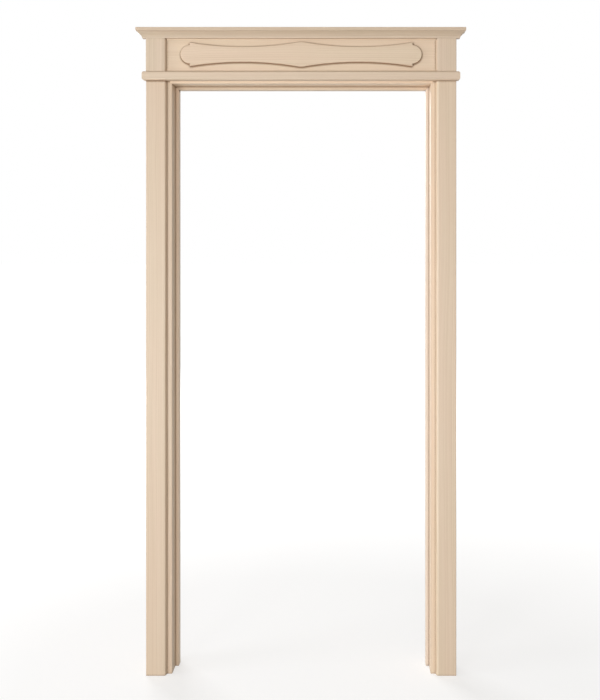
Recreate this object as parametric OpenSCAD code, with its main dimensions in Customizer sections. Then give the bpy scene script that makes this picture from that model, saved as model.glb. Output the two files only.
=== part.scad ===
// Wooden door frame: a lining with planted stops, two flat leg casings and a crosshead.
// Z = 0 is the floor. The front of the frame faces -Y. X = 0 is the middle of the doorway.

/* [Doorway] */
// Clear width between the two side stops
clear_w = 914; // [700:1:1200]
// Clear height from the floor to the head stop
clear_h = 2134; // [1900:1:2500]

/* [Lining] */
// Thickness of the jambs and of the head
jamb_t = 30; // [26:1:40]
// Depth of the lining through the wall
jamb_d = 140; // [125:1:220]
// Depth of the housing in each jamb that takes an end of the head
housing_d = 8; // [4:1:12]
// Height of the horn that each jamb keeps above the head
horn_h = 20; // [5:1:60]
// Radius of the rounded front arrises of the lining
lining_arris = 3; // [1:0.5:4]

/* [Door stops] */
// How far the stops stand out from the lining
stop_t = 13; // [10:1:18]
// Width of the stops along the depth of the lining
stop_d = 34; // [20:1:45]
// Width of the rebate behind the stops that takes the leaf
leaf_rebate = 40; // [35:1:45]
// Radius of the rounded arrises of the stops
stop_arris = 3; // [1:0.5:5]

/* [Leg casings] */
// Width of a leg casing
casing_w = 77; // [66:1:120]
// Thickness of a leg casing
casing_t = 18; // [15:1:24]
// Strip of the jamb's front edge that the casing leaves bare
casing_reveal = 15; // [6:1:18]
// Radius of the gentle round that leads to a casing's inner edge
casing_round = 19; // [10:1:24]
// Angle that the gentle round turns through before it meets the slope
casing_turn = 35; // [20:1:45]
// Width of the steep slope from the round down to the lining
casing_slope = 8; // [4:1:10]
// Thickness of the square edge that the slope leaves at the back
casing_land = 1.5; // [0.5:0.5:2.5]
// Radius of the small outer arris of a casing
casing_arris = 3; // [1:0.5:5]
// Width of the hollow along the back of a casing
relief_w = 40; // [20:1:50]
// Depth of the hollow along the back of a casing
relief_d = 2; // [1:0.5:3]

/* [Astragal] */
// Height of the astragal across the tops of the legs
astragal_h = 32; // [28:1:50]
// How far the astragal stands out past the casings, in front and at its ends
astragal_out = 13; // [8:1:25]
// Radius of the astragal's rounded edges
astragal_round = 8; // [3:1:11]
// Strip of the head's front edge that the astragal leaves bare
head_reveal = 9; // [4:1:20]

/* [Frieze] */
// Height of the frieze from the astragal to the crown
frieze_h = 120; // [108:1:200]
// Thickness of the board behind the frieze and the crown
board_t = 10; // [8:1:12]
// Thickness of the tongue under the header board
tongue_t = 4; // [3:0.5:6]
// Depth that the tongue reaches into the astragal
tongue_d = 6; // [4:1:10]
// Distance by which the tongue stops short of the leg casings
tongue_stop = 5; // [2:1:30]

/* [Scalloped panel] */
// Thickness of the applied panel
panel_t = 9; // [6:1:12]
// Bare frieze between a header block and the end of the panel
panel_margin = 48; // [20:1:90]
// Height of the panel across its ears
ear_h = 92; // [80:1:100]
// How far an ear reaches past the centre of the round end
ear_lip = 3; // [1:0.5:10]
// Radius of the panel's round ends
end_r = 36; // [25:1:38]
// Height of the panel at its waists
waist_h = 58; // [45:1:70]
// How far each waist stands outside the quarter point of the panel
waist_shift = 8; // [0:1:20]
// Radius of the soft peak in the middle of the panel
peak_r = 65; // [40:1:90]
// Radius of the panel's rounded front edge
panel_round = 2.5; // [1.5:0.5:4.5]

/* [Crown] */
// Thickness of the header blocks and of the crown moulding at its foot
crown_t = 13; // [10:1:20]
// Height of the flat band at the foot of the crown
band_h = 7; // [4:1:15]
// Height of the cove
cove_h = 17; // [12:1:30]
// How far the cove flares outwards
cove_out = 18; // [12:1:30]
// Radius of the hollow of the cove
cove_r = 25; // [23:1:60]
// Thickness of the cap board
cap_t = 12.5; // [10:0.5:20]
// How far the cap board stands out past the cove
cap_lip = 2; // [1:0.5:6]
// Radius of the cap board's rounded arrises
cap_arris = 2; // [1:0.5:4]

/* [Fixings] */
// Diameter of the screws in the corners of the lining and in the cap board
screw_d = 4.5; // [4:0.5:5.5]
// Diameter of the countersunk screw heads
screw_head_d = 9; // [8:0.5:10]
// Length of the screws in the corners of the lining
corner_screw_l = 70; // [50:1:90]
// Distance from the lining's edges to the outer corner screws
corner_screw_edge = 25; // [15:1:45]
// Wood left under the tips of the screws through the cap board
cap_screw_cover = 4.5; // [3:0.5:10]
// Distance from the cap board's ends to its outer screws
cap_screw_edge = 75; // [60:1:150]
// Diameter of the dowels between the casings and the astragal
dowel_d = 8; // [6:1:10]
// Length of the dowels
dowel_l = 40; // [24:2:42]
// Distance from a casing's edges to its dowels
dowel_edge = 19; // [14:1:26]
// Radial clearance of screws and dowels in their holes
fixing_fit = 0.05; // [0.02:0.01:0.2]
// Diameter of the holes for the wall anchors
anchor_d = 8; // [6:0.5:10]
// Height of the lowest wall anchor above the floor
anchor_low = 200; // [100:10:400]
// Distance from the head down to the highest wall anchor
anchor_drop = 207; // [100:1:400]

/* [Hidden] */
$fn = 96;
large_fn = 360;
// Cutters reach this much past the wood
past = 1;
// A rounded edge meets its faces at a fine angle, set by this factor on its radius
crisp = 1.02;
// Clear depth left at the bottom of a dowel's or screw's hole
hole_end = 1;
ash = [0.88, 0.79, 0.69];
beech = [0.80, 0.64, 0.46];
zinc = [0.75, 0.75, 0.77];

// Places across the doorway, measured from its middle
stop_x = clear_w / 2;
jamb_x = stop_x + stop_t;
jamb_back_x = jamb_x + jamb_t;
casing_x = jamb_x + casing_reveal;
leg_x = casing_x + casing_w;
crown_x = leg_x + crown_t;
cap_x = crown_x + cove_out + cap_lip;

// Heights above the floor
head_z = clear_h + stop_t;
astragal_z = head_z + head_reveal;
frieze_z = astragal_z + astragal_h;
crown_z = frieze_z + frieze_h;
cap_z = crown_z + band_h + cove_h;
top_z = cap_z + cap_t;

// Places through the depth, with the middle of the whole frame at Y = 0
front_out = board_t + crown_t + cove_out + cap_lip;
wall_y = (front_out - jamb_d) / 2;
leg_y = wall_y - casing_t;
board_y = wall_y - board_t;
cap_y = wall_y - front_out;
back_y = wall_y + jamb_d;
stop_y = back_y - leaf_rebate - stop_d;

// A header block stands out as far as the crown's foot above it, so their faces are one
block_y = board_y - crown_t;

// Inner edge of a casing, measured from its corner: how deep the round goes and where it starts
round_drop = casing_round * (1 - cos(casing_turn));
round_start = casing_slope + casing_round * sin(casing_turn);

// The scalloped outline
panel_end = casing_x - panel_margin;
end_x = panel_end - end_r;
ear_x = end_x + ear_lip;
waist_x = ear_x / 2 + waist_shift;
waist_rise = (ear_h - waist_h) / 2;
waist_chord = ear_x - waist_x;
waist_r = (pow(waist_chord, 2) + pow(waist_rise, 2)) / (2 * waist_rise);
waist_cz = waist_h / 2 + waist_r;
// The peak's circle touches both waist circles, raised a little so that it crosses them
peak_ease = 0.15;
peak_z = waist_cz - sqrt(pow(waist_r + peak_r, 2) - pow(waist_x, 2)) + peak_ease;
peak_turn = asin(waist_x / (waist_r + peak_r));
peak_half = peak_r * sin(peak_turn);
ear_low = sqrt(pow(end_r, 2) - pow(ear_lip, 2));

// Hollow of the cove: the circle through both ends of its slope
cove_slope = sqrt(pow(cove_out, 2) + pow(cove_h, 2));
cove_reach = sqrt(pow(cove_r, 2) - pow(cove_slope / 2, 2));
cove_c = [
    crown_t + cove_out / 2 + cove_reach * cove_h / cove_slope,
    band_h + cove_h / 2 - cove_reach * cove_out / cove_slope
];

// Fixings that follow the wood around them
cap_screw_l = top_z - crown_z - cap_screw_cover;
cap_screw_pitch = (cap_x - cap_screw_edge) / 2;
anchors = 4;
anchor_pitch = (head_z - anchor_drop - anchor_low) / (anchors - 1);

// Profiles and helpers

// What a rounded edge of radius r takes off a corner at the origin that points to +x and +y
module edge_waste(r) {
    difference() {
        translate([-r, -r]) square(r + past);
        translate([-r, -r]) circle(r = r * crisp);
    }
}

// Sweeps a section drawn as depth and height along X, from -half to +half
module along_x(half) {
    rotate([90, 0, 90]) linear_extrude(2 * half, center = true) children();
}

// Sweeps an outline drawn in the face of the wall through the depth, from y to y + depth
module along_y(y, depth) {
    translate([0, y + depth, 0]) rotate([90, 0, 0]) linear_extrude(depth) children();
}

// The left-hand copy of a right-hand piece
module left_hand() {
    mirror([1, 0, 0]) children();
}

// Half space beyond a mitre that rises at 45 degrees from the origin in X and Z
module mitre_xz(size, above) {
    rotate([0, -45, 0]) translate([-size, -size, above ? 0 : -size]) cube([2 * size, 2 * size, size]);
}

// Half space to the right of a mitre that runs from the origin to +X and -Y
module mitre_xy(size, beyond) {
    rotate([0, 0, -45]) translate([-size, beyond ? 0 : -size, -size]) cube([2 * size, size, 2 * size]);
}

module screw(length) {
    cylinder(h = length, d = screw_d);
    cylinder(h = screw_head_d / 2, d1 = screw_head_d, d2 = 0);
}

// The hole of a screw: shank clearance and countersink, open at the head
module screw_hole(length) {
    cylinder(h = length + hole_end, d = screw_d + 2 * fixing_fit);
    cylinder(h = screw_head_d / 2 + fixing_fit, d1 = screw_head_d + 2 * fixing_fit, d2 = 0);
    translate([0, 0, -past]) cylinder(h = past, d = screw_head_d + 2 * fixing_fit);
}

// Places that more than one piece shares

module at_corner_screws() {
    for (side = [-1, 1], y = [corner_screw_edge, jamb_d / 2, jamb_d - corner_screw_edge])
        translate([side * jamb_back_x, wall_y + y, head_z + jamb_t / 2])
            rotate([0, -90 * side, 0]) children();
}

module at_cap_screws() {
    for (i = [-2 : 2])
        translate([i * cap_screw_pitch, board_y - crown_t / 2, top_z]) rotate([180, 0, 0]) children();
}

module at_dowels() {
    for (side = [-1, 1], x = [casing_x + dowel_edge, leg_x - dowel_edge])
        translate([side * x, wall_y - casing_t / 2, astragal_z]) children();
}

module dowel_holes() {
    at_dowels() cylinder(h = dowel_l + 2 * hole_end, d = dowel_d + 2 * fixing_fit, center = true);
}

module anchor_holes() {
    for (i = [0 : anchors - 1])
        translate([jamb_x - past, back_y - leaf_rebate / 2, anchor_low + i * anchor_pitch])
            rotate([0, 90, 0]) cylinder(h = jamb_t + 2 * past, d = anchor_d);
}

// Lining

module right_jamb() {
    color(ash) difference() {
        linear_extrude(head_z + jamb_t + horn_h) difference() {
            translate([jamb_x, wall_y]) square([jamb_t, jamb_d]);
            translate([jamb_x, wall_y]) rotate(180) edge_waste(lining_arris);
            translate([jamb_x, back_y]) rotate(90) edge_waste(lining_arris);
        }
        translate([jamb_x - past, wall_y - past, head_z])
            cube([housing_d + past, jamb_d + 2 * past, jamb_t]);
        at_corner_screws() screw_hole(corner_screw_l);
        anchor_holes();
    }
}

module left_jamb() {
    left_hand() right_jamb();
}

module head_jamb() {
    color(ash) difference() {
        along_x(jamb_x + housing_d) difference() {
            translate([wall_y, head_z]) square([jamb_d, jamb_t]);
            translate([wall_y, head_z]) rotate(180) edge_waste(lining_arris);
            translate([back_y, head_z]) rotate(-90) edge_waste(lining_arris);
        }
        at_corner_screws() screw_hole(corner_screw_l);
    }
}

// Section of a stop: x runs out from the lining, y through the depth
module stop_section() {
    difference() {
        square([stop_t, stop_d]);
        translate([stop_t, stop_d]) edge_waste(stop_arris);
        translate([stop_t, 0]) rotate(-90) edge_waste(stop_arris);
    }
}

module right_stop() {
    color(ash) difference() {
        linear_extrude(head_z) translate([jamb_x, stop_y]) mirror([1, 0]) stop_section();
        translate([jamb_x, stop_y + stop_d / 2, head_z]) mitre_xz(2 * stop_d, true);
    }
}

module left_stop() {
    left_hand() right_stop();
}

module head_stop() {
    color(ash) difference() {
        along_x(jamb_x) translate([stop_y, head_z]) rotate(-90) stop_section();
        for (side = [0, 1]) mirror([side, 0, 0])
            translate([jamb_x, stop_y + stop_d / 2, head_z]) mitre_xz(2 * stop_d, false);
    }
}

// Leg casings

// What the shaped inner edge takes off a board of thickness t, with the wood towards +x and +y
module inner_edge_waste(t) {
    // How far the slope leans for each millimetre of depth
    lean = casing_slope / (t - casing_land - round_drop);
    // Steep slope
    polygon([
        [-2 * casing_slope, -past], [casing_slope + lean * (round_drop + past), -past],
        [-lean * past, t - casing_land + past], [-2 * casing_slope, t - casing_land + past]
    ]);
    // Gentle round
    difference() {
        translate([0, -past]) square([round_start, round_drop + past]);
        translate([round_start, casing_round]) circle(r = casing_round * crisp);
    }
}

module casing_section() {
    difference() {
        translate([casing_x, leg_y]) square([casing_w, casing_t]);
        translate([casing_x, leg_y]) inner_edge_waste(casing_t);
        translate([leg_x, leg_y]) rotate(-90) edge_waste(casing_arris);
        translate([casing_x + (casing_w - relief_w) / 2, wall_y - relief_d])
            square([relief_w, relief_d + past]);
    }
}

module right_casing() {
    color(ash) difference() {
        linear_extrude(astragal_z) casing_section();
        dowel_holes();
    }
}

module left_casing() {
    left_hand() right_casing();
}

// Crosshead

// Upright outline of a bar with all four corners rounded, from -half to +half
module bar_outline(half, z, height, r) {
    difference() {
        translate([-half, z]) square([2 * half, height]);
        translate([half, z + height]) edge_waste(r);
        translate([half, z]) rotate(-90) edge_waste(r);
        translate([-half, z + height]) rotate(90) edge_waste(r);
        translate([-half, z]) rotate(180) edge_waste(r);
    }
}

// A bar against the wall with rounded front edges that return round both ends
module returned_bar(half, y, z, height, r) {
    intersection() {
        along_x(half + past) difference() {
            translate([y, z]) square([wall_y - y, height]);
            translate([y, z + height]) rotate(90) edge_waste(r);
            translate([y, z]) rotate(180) edge_waste(r);
        }
        along_y(y - past, wall_y - y + 2 * past) bar_outline(half, z, height, r);
    }
}

// The tongue of the header board, wider by the clearance where it is a groove
module tongue(clearance) {
    half = casing_x - tongue_stop + clearance;
    depth = tongue_t + 2 * clearance;
    translate([-half, wall_y - board_t / 2 - depth / 2, frieze_z - tongue_d - clearance])
        cube([2 * half, depth, tongue_d + clearance + past]);
}

module astragal() {
    color(ash) difference() {
        returned_bar(leg_x + astragal_out, leg_y - astragal_out, astragal_z, astragal_h, astragal_round);
        dowel_holes();
        tongue(fixing_fit);
    }
}

module header_board() {
    color(ash) union() {
        translate([-leg_x, board_y, frieze_z]) cube([2 * leg_x, board_t, cap_z - frieze_z]);
        tongue(0);
    }
}

// A header block has the shaped inner edge of the leg below it
module right_header_block() {
    color(ash) translate([0, 0, frieze_z]) linear_extrude(frieze_h) difference() {
        translate([casing_x, block_y]) square([casing_w, crown_t]);
        translate([casing_x, block_y]) inner_edge_waste(crown_t);
        translate([leg_x, block_y]) rotate(-90) edge_waste(casing_arris);
    }
}

module left_header_block() {
    left_hand() right_header_block();
}

// One quarter of the cuts that shape the scalloped plate, mirrored to all four
module in_four_quarters() {
    for (a = [0, 1], b = [0, 1]) mirror([a, 0, 0]) mirror([0, b, 0]) children();
}

// Rounds the front edge along a circle; inside is true where the wood lies inside the circle
module round_edge_ring(r, inside) {
    translate([r, panel_t]) mirror([inside ? 0 : 1, 0]) edge_waste(panel_round);
}

module scalloped_plate() {
    difference() {
        union() {
            translate([-ear_x, -ear_h, 0]) cube([2 * ear_x, 2 * ear_h, panel_t]);
            for (side = [-1, 1]) translate([side * end_x, 0, 0]) cylinder(h = panel_t, r = end_r);
        }
        in_four_quarters() {
            // Waist arc and its rounded edge
            translate([waist_x, waist_cz, 0]) {
                translate([0, 0, -past]) cylinder(h = panel_t + 2 * past, r = waist_r, $fn = large_fn);
                rotate_extrude($fn = large_fn) round_edge_ring(waist_r, false);
            }
            // Outer edge of the ear
            translate([ear_x, ear_low, panel_t]) rotate([-90, 0, 0]) linear_extrude(ear_h)
                mirror([0, 1]) edge_waste(panel_round);
        }
        for (up = [0, 1]) mirror([0, up, 0]) {
            // Soft peak in the middle and its rounded edge
            difference() {
                translate([-peak_half, peak_z, -past]) cube([2 * peak_half, 2 * peak_r, panel_t + 2 * past]);
                translate([0, peak_z, -2 * past]) cylinder(h = panel_t + 4 * past, r = peak_r, $fn = large_fn);
            }
            translate([0, peak_z, 0]) rotate(90 - peak_turn)
                rotate_extrude(angle = 2 * peak_turn, $fn = large_fn) round_edge_ring(peak_r, true);
        }
        for (side = [0, 1]) mirror([side, 0, 0])
            // Rounded edge of the round end
            translate([end_x, 0, 0]) rotate(-acos(ear_lip / end_r))
                rotate_extrude(angle = 2 * acos(ear_lip / end_r)) round_edge_ring(end_r, true);
    }
}

module scalloped_panel() {
    color(ash) translate([0, board_y, frieze_z + frieze_h / 2]) rotate([90, 0, 0]) scalloped_plate();
}

// Section of the crown moulding: x runs out from its back, y up from its foot
module crown_section() {
    difference() {
        polygon([
            [0, 0], [crown_t, 0], [crown_t, band_h],
            [crown_t + cove_out, band_h + cove_h], [0, band_h + cove_h]
        ]);
        translate(cove_c) circle(r = cove_r);
    }
}

module crown_front() {
    color(ash) difference() {
        along_x(cap_x) translate([board_y, crown_z]) mirror([1, 0]) crown_section();
        for (side = [0, 1]) mirror([side, 0, 0])
            translate([leg_x, board_y, crown_z]) mitre_xy(cap_x, true);
        at_cap_screws() screw_hole(cap_screw_l);
    }
}

module crown_right_return() {
    color(ash) difference() {
        translate([leg_x, wall_y, crown_z]) rotate([90, 0, 0]) linear_extrude(front_out) crown_section();
        translate([leg_x, board_y, crown_z]) mitre_xy(cap_x, false);
    }
}

module crown_left_return() {
    left_hand() crown_right_return();
}

module cap_board() {
    color(ash) difference() {
        returned_bar(cap_x, cap_y, cap_z, cap_t, cap_arris);
        at_cap_screws() screw_hole(cap_screw_l);
    }
}

// Fixings

module corner_screws() {
    color(zinc) at_corner_screws() screw(corner_screw_l);
}

module cap_screws() {
    color(zinc) at_cap_screws() screw(cap_screw_l);
}

module leg_dowels() {
    color(beech) at_dowels() cylinder(h = dowel_l, d = dowel_d, center = true);
}

left_jamb();
right_jamb();
head_jamb();
left_stop();
right_stop();
head_stop();
left_casing();
right_casing();
astragal();
header_board();
left_header_block();
right_header_block();
scalloped_panel();
crown_front();
crown_left_return();
crown_right_return();
cap_board();
corner_screws();
cap_screws();
leg_dowels();
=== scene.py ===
"""Wooden door frame: planed timber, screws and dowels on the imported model, and a plain studio."""

import math

import bmesh
import bpy
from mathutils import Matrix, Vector


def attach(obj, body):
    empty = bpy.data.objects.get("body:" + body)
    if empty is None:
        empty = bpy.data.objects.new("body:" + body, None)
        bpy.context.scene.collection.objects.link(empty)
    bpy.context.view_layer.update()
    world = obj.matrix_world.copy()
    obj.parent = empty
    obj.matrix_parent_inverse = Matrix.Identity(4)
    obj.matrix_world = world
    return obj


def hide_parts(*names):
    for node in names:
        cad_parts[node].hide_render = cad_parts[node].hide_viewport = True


bl_info = {
    "name": "Door Frame Finish",
    "version": (1, 0, 0),
    "blender": (4, 5, 0),
    "location": "3D View > Sidebar > Door Frame",
    "description": "Gives a wooden door frame its planed timber, fixings and studio",
    "category": "Object",
}

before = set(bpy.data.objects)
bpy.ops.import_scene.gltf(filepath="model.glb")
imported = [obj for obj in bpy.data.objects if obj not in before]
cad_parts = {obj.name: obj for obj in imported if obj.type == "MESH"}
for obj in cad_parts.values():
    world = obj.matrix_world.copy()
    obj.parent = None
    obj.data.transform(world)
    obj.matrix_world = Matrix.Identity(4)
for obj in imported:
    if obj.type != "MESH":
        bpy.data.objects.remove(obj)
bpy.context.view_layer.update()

MM = 0.001

# Places of the fixings, as in the part's source. Each has its point and the turn that lays its
# length, which it has along Z, in its hole.
LEFTWARDS = (0.0, math.radians(-90), 0.0)
RIGHTWARDS = (0.0, math.radians(90), 0.0)
DOWNWARDS = (math.radians(180), 0.0, 0.0)
UPWARDS = (0.0, 0.0, 0.0)
CORNER_SCREWS = [
    ((side * 0.500, y, 2.162), LEFTWARDS if side > 0 else RIGHTWARDS)
    for side in (-1, 1)
    for y in (-0.0235, 0.0215, 0.0665)
]
CAP_SCREWS = [((x, -0.065, 2.3445), DOWNWARDS) for x in (-0.52, -0.26, 0.0, 0.26, 0.52)]
LEG_DOWELS = [((x, -0.0575, 2.156), UPWARDS) for x in (-0.543, -0.504, 0.504, 0.543)]

# Vertices closer than this are one, faces that turn less than this are one flat, and edges that
# turn more than this are sharp
WELD = 0.02 * MM
FLAT_ANGLE = math.radians(0.4)
SHARP_ANGLE = math.radians(32)

# Which way the grain runs in each timber, and how its board differs from the others:
# a seed for its figure, its tone, and how grey it is. Its tone and greyness are partly the board's
# own colour and partly painted light and shade, raised or lowered board by board
UPRIGHT, ACROSS, INWARD = "upright", "across", "inward"
LINING = {
    "left_jamb": (UPRIGHT, 1, 0.985, 0.0),
    "right_jamb": (UPRIGHT, 2, 1.08, 0.0),
    "head_jamb": (ACROSS, 3, 1.12, 0.0),
}
STOPS = {
    "left_stop": (UPRIGHT, 4, 1.21, 0.05),
    "right_stop": (UPRIGHT, 5, 1.15, 0.35),
    "head_stop": (ACROSS, 6, 0.98, 0.0),
}
CASINGS = {
    "left_casing": (UPRIGHT, 7, 0.94, 0.0),
    "right_casing": (UPRIGHT, 8, 0.99, 0.0),
}
CROSSHEAD = {
    "astragal": (ACROSS, 9, 0.98, 0.05),
    "header_board": (ACROSS, 10, 1.05, 0.0),
    "left_header_block": (UPRIGHT, 11, 0.93, 0.05),
    "right_header_block": (UPRIGHT, 12, 0.96, 0.05),
    "scalloped_panel": (ACROSS, 13, 1.01, 0.0),
    "cap_board": (ACROSS, 17, 0.89, 0.0),
}
CROWN = {
    "crown_front": (ACROSS, 14, 0.84, 0.0),
    "crown_left_return": (INWARD, 15, 0.84, 0.0),
    "crown_right_return": (INWARD, 16, 0.84, 0.0),
}

# The inner edge of the legs and of the header blocks, whose dark line is narrower in the photo
# than the CAD's edge makes it. Distance from the middle and Y, in millimetres: where the CAD has
# each corner of the section, and where it lies here
LEG_EDGE = [
    ((500.08, -66.50), (499.00, -66.50)),
    ((497.77, -65.89), (496.50, -66.33)),
    ((495.56, -64.99), (494.00, -65.93)),
    ((493.47, -63.84), (491.90, -65.30)),
    ((485.00, -50.00), (488.20, -51.50)),
    ((485.00, -48.50), (488.00, -48.50)),
]
BLOCK_EDGE = [
    ((500.08, -71.50), (499.50, -71.50)),
    ((498.85, -71.21), (498.00, -71.42)),
    ((497.65, -70.84), (496.50, -71.25)),
    ((496.47, -70.40), (495.00, -70.98)),
    ((495.32, -69.88), (493.40, -70.56)),
    ((494.21, -69.29), (492.00, -70.06)),
    ((485.00, -60.00), (488.20, -60.60)),
    ((485.00, -58.50), (488.00, -58.50)),
]
NARROWED_EDGES = {
    "left_casing": LEG_EDGE,
    "right_casing": LEG_EDGE,
    "left_header_block": BLOCK_EDGE,
    "right_header_block": BLOCK_EDGE,
}
# Corners of the section are found within this distance, in millimetres
NEAR_ENOUGH = 0.15

# In the photo the lower outline of the scalloped panel lies a little higher than in the CAD, so
# the panel is made this much of its height, with its top edge where it is
PANEL_TOP = 2.294
PANEL_SQUASH = 0.94

# Section of the crown in millimetres, fuller than the CAD's cove, since its outline runs nearly
# straight in the photo: how far out from the board, and how high over the crown's foot
CROWN_SECTION = [
    (0.0, 24.0),
    (0.0, 0.0),
    (13.0, 0.0),
    (13.1, 1.8),
    (13.7, 4.4),
    (15.0, 7.2),
    (17.1, 10.2),
    (19.8, 13.2),
    (22.8, 16.1),
    (26.1, 18.9),
    (29.6, 21.4),
    (31.0, 22.2),
    (31.0, 24.0),
]
# Distance of the board's end from the middle and Y of its face, height of the crown's foot, and
# Y of the wall, all in millimetres
CROWN_CORNER = (562.0, -58.5)
CROWN_FOOT = 2308.0
WALL_LINE = -48.5

# Turn that lays the grain, which the figure has along Z, along the timber
GRAIN_TURN = {
    UPRIGHT: (0.0, 0.0, 0.0),
    ACROSS: (0.0, math.radians(90), 0.0),
    INWARD: (math.radians(90), 0.0, 0.0),
}

# Each board's own place in the trunk, from its seed: the angle in radians and the height between
# one seed and the next, the shortest way out and its step, and what is added to X and Y. With
# these the heart of the trunk lies 0.1 to 3.3 m from the boards
TRUNK_TURN, TRUNK_RISE = 2.4, 3.1
TRUNK_REACH, TRUNK_STEP = 0.14, 0.05
TRUNK_ASIDE = (0.8, 0.3)

# What each part of the figure adds to the depth of a board's colour
STREAKS_DEEPEN, FIBRES_DEEPEN, PORES_DEEPEN, END_GRAIN_DEEPENS = 0.16, 0.10, 0.30, 0.45
# A board's roughness, and what each part of the figure adds to it
BOARD_ROUGHNESS, PORES_ROUGHEN, FIBRES_ROUGHEN, END_GRAIN_ROUGHENS = 0.47, 0.16, 0.06, 0.15
# How high fibres stand and how low rings lie, as shares of the depth of a pore
FIBRES_RISE, RINGS_SINK = 0.35, 0.25


class TimberFinish(bpy.types.PropertyGroup):
    """Colours and figure of the ash boards"""

    pale: bpy.props.FloatVectorProperty(
        name="Pale Wood",
        description="Colour of the wood between the growth rings",
        default=(0.800, 0.640, 0.480),
        subtype="COLOR",
        min=0.0,
        max=1.0,
    )
    deep: bpy.props.FloatVectorProperty(
        name="Deep Wood",
        description="Colour of the dark part of a growth ring",
        default=(0.620, 0.455, 0.300),
        subtype="COLOR",
        min=0.0,
        max=1.0,
    )
    ring_spacing: bpy.props.FloatProperty(
        name="Ring Spacing",
        description="Usual distance between two growth rings",
        default=3.4 * MM,
        min=0.5 * MM,
        max=20 * MM,
        precision=4,
        unit="LENGTH",
        subtype="DISTANCE",
    )
    arris: bpy.props.FloatProperty(
        name="Arris",
        description="Width of the softened edges that sanding leaves",
        default=0.7 * MM,
        min=0.1 * MM,
        max=3 * MM,
        precision=4,
        unit="LENGTH",
        subtype="DISTANCE",
    )


class FixingSizes(bpy.types.PropertyGroup):
    """Sizes of the screws and dowels"""

    screw_width: bpy.props.FloatProperty(
        name="Screw Diameter",
        description="Outer diameter of the thread",
        default=4.5 * MM,
        precision=4,
        unit="LENGTH",
        subtype="DISTANCE",
    )
    head_width: bpy.props.FloatProperty(
        name="Screw Head",
        description="Diameter of the countersunk head",
        default=9.0 * MM,
        precision=4,
        unit="LENGTH",
        subtype="DISTANCE",
    )
    corner_length: bpy.props.FloatProperty(
        name="Corner Screw Length",
        description="Length of the screws that join the jambs to the head",
        default=70.0 * MM,
        precision=4,
        unit="LENGTH",
        subtype="DISTANCE",
    )
    cap_length: bpy.props.FloatProperty(
        name="Cap Screw Length",
        description="Length of the screws through the cap board",
        default=32.0 * MM,
        precision=4,
        unit="LENGTH",
        subtype="DISTANCE",
    )
    thread_pitch: bpy.props.FloatProperty(
        name="Thread Pitch",
        description="Distance between two turns of a screw's thread",
        default=2.2 * MM,
        min=1.0 * MM,
        precision=4,
        unit="LENGTH",
        subtype="DISTANCE",
    )
    dowel_width: bpy.props.FloatProperty(
        name="Dowel Diameter",
        description="Diameter of the dowels across their ridges",
        default=8.0 * MM,
        precision=4,
        unit="LENGTH",
        subtype="DISTANCE",
    )
    dowel_length: bpy.props.FloatProperty(
        name="Dowel Length",
        description="Length of the dowels between the legs and the astragal",
        default=40.0 * MM,
        precision=4,
        unit="LENGTH",
        subtype="DISTANCE",
    )


class StudioLight(bpy.types.PropertyGroup):
    """Light of the plain studio"""

    sky: bpy.props.FloatProperty(
        name="Even Light",
        description="Light that comes from all sides, where 1 shows a colour as it is",
        default=0.36,
        min=0.0,
        max=2.0,
    )
    key: bpy.props.FloatProperty(
        name="Key Lamp",
        description="Power of the soft lamp in front, a little on the left",
        default=110.0,
        min=0.0,
        unit="POWER",
    )
    fill: bpy.props.FloatProperty(
        name="Fill Lamp",
        description="Power of the soft lamp straight in front",
        default=78.0,
        min=0.0,
        unit="POWER",
    )
    side: bpy.props.FloatProperty(
        name="Side Lamp",
        description="Power of the soft lamp on the left",
        default=115.0,
        min=0.0,
        unit="POWER",
    )
    back: bpy.props.FloatProperty(
        name="Back Lamp",
        description="Power of the soft lamp behind the frame",
        default=330.0,
        min=0.0,
        unit="POWER",
    )


def new_node(tree, kind, **settings):
    """Adds a node and sets its own options."""
    node = tree.nodes.new(kind)
    for key, value in settings.items():
        setattr(node, key, value)
    return node


def feed(tree, socket, value):
    """Links another node's output to a socket, or sets a plain value on it."""
    if isinstance(value, bpy.types.NodeSocket):
        tree.links.new(value, socket)
    else:
        socket.default_value = value


def maths(tree, operation, *values, clamp=False):
    """The output of a Math node."""
    node = new_node(tree, "ShaderNodeMath", operation=operation, use_clamp=clamp)
    for socket, value in zip(node.inputs, values):
        feed(tree, socket, value)
    return node.outputs[0]


def vector_maths(tree, operation, *values):
    """The output of a Vector Math node: a value for LENGTH and DOT_PRODUCT, else a vector."""
    node = new_node(tree, "ShaderNodeVectorMath", operation=operation)
    for socket, value in zip(node.inputs, values):
        feed(tree, socket, value)
    return node.outputs[1 if operation in ("LENGTH", "DOT_PRODUCT") else 0]


def blend_colours(tree, factor, first, second):
    """The output of a Mix node between two colours."""
    node = new_node(tree, "ShaderNodeMix", data_type="RGBA")
    colours = [socket for socket in node.inputs if socket.type == "RGBA"]
    feed(tree, node.inputs[0], factor)
    for socket, value in zip(colours, (first, second)):
        feed(tree, socket, value if isinstance(value, bpy.types.NodeSocket) else (*value, 1.0))
    return [socket for socket in node.outputs if socket.type == "RGBA"][0]


def span(tree, value, low, high, to_low=0.0, to_high=1.0):
    """A value stretched from one range to another, and held inside it."""
    node = new_node(tree, "ShaderNodeMapRange", clamp=True)
    for socket, number in zip(node.inputs, (value, low, high, to_low, to_high)):
        feed(tree, socket, number)
    return node.outputs[0]


def noise(tree, place, stretch, detail=2.0, roughness=0.5):
    """Noise whose lumps are one unit long divided by stretch along each direction."""
    node = new_node(tree, "ShaderNodeTexNoise", noise_dimensions="3D")
    feed(tree, node.inputs["Vector"], vector_maths(tree, "MULTIPLY", place, stretch))
    node.inputs["Scale"].default_value = 1.0
    node.inputs["Detail"].default_value = detail
    node.inputs["Roughness"].default_value = roughness
    return node.outputs[0]


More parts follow.
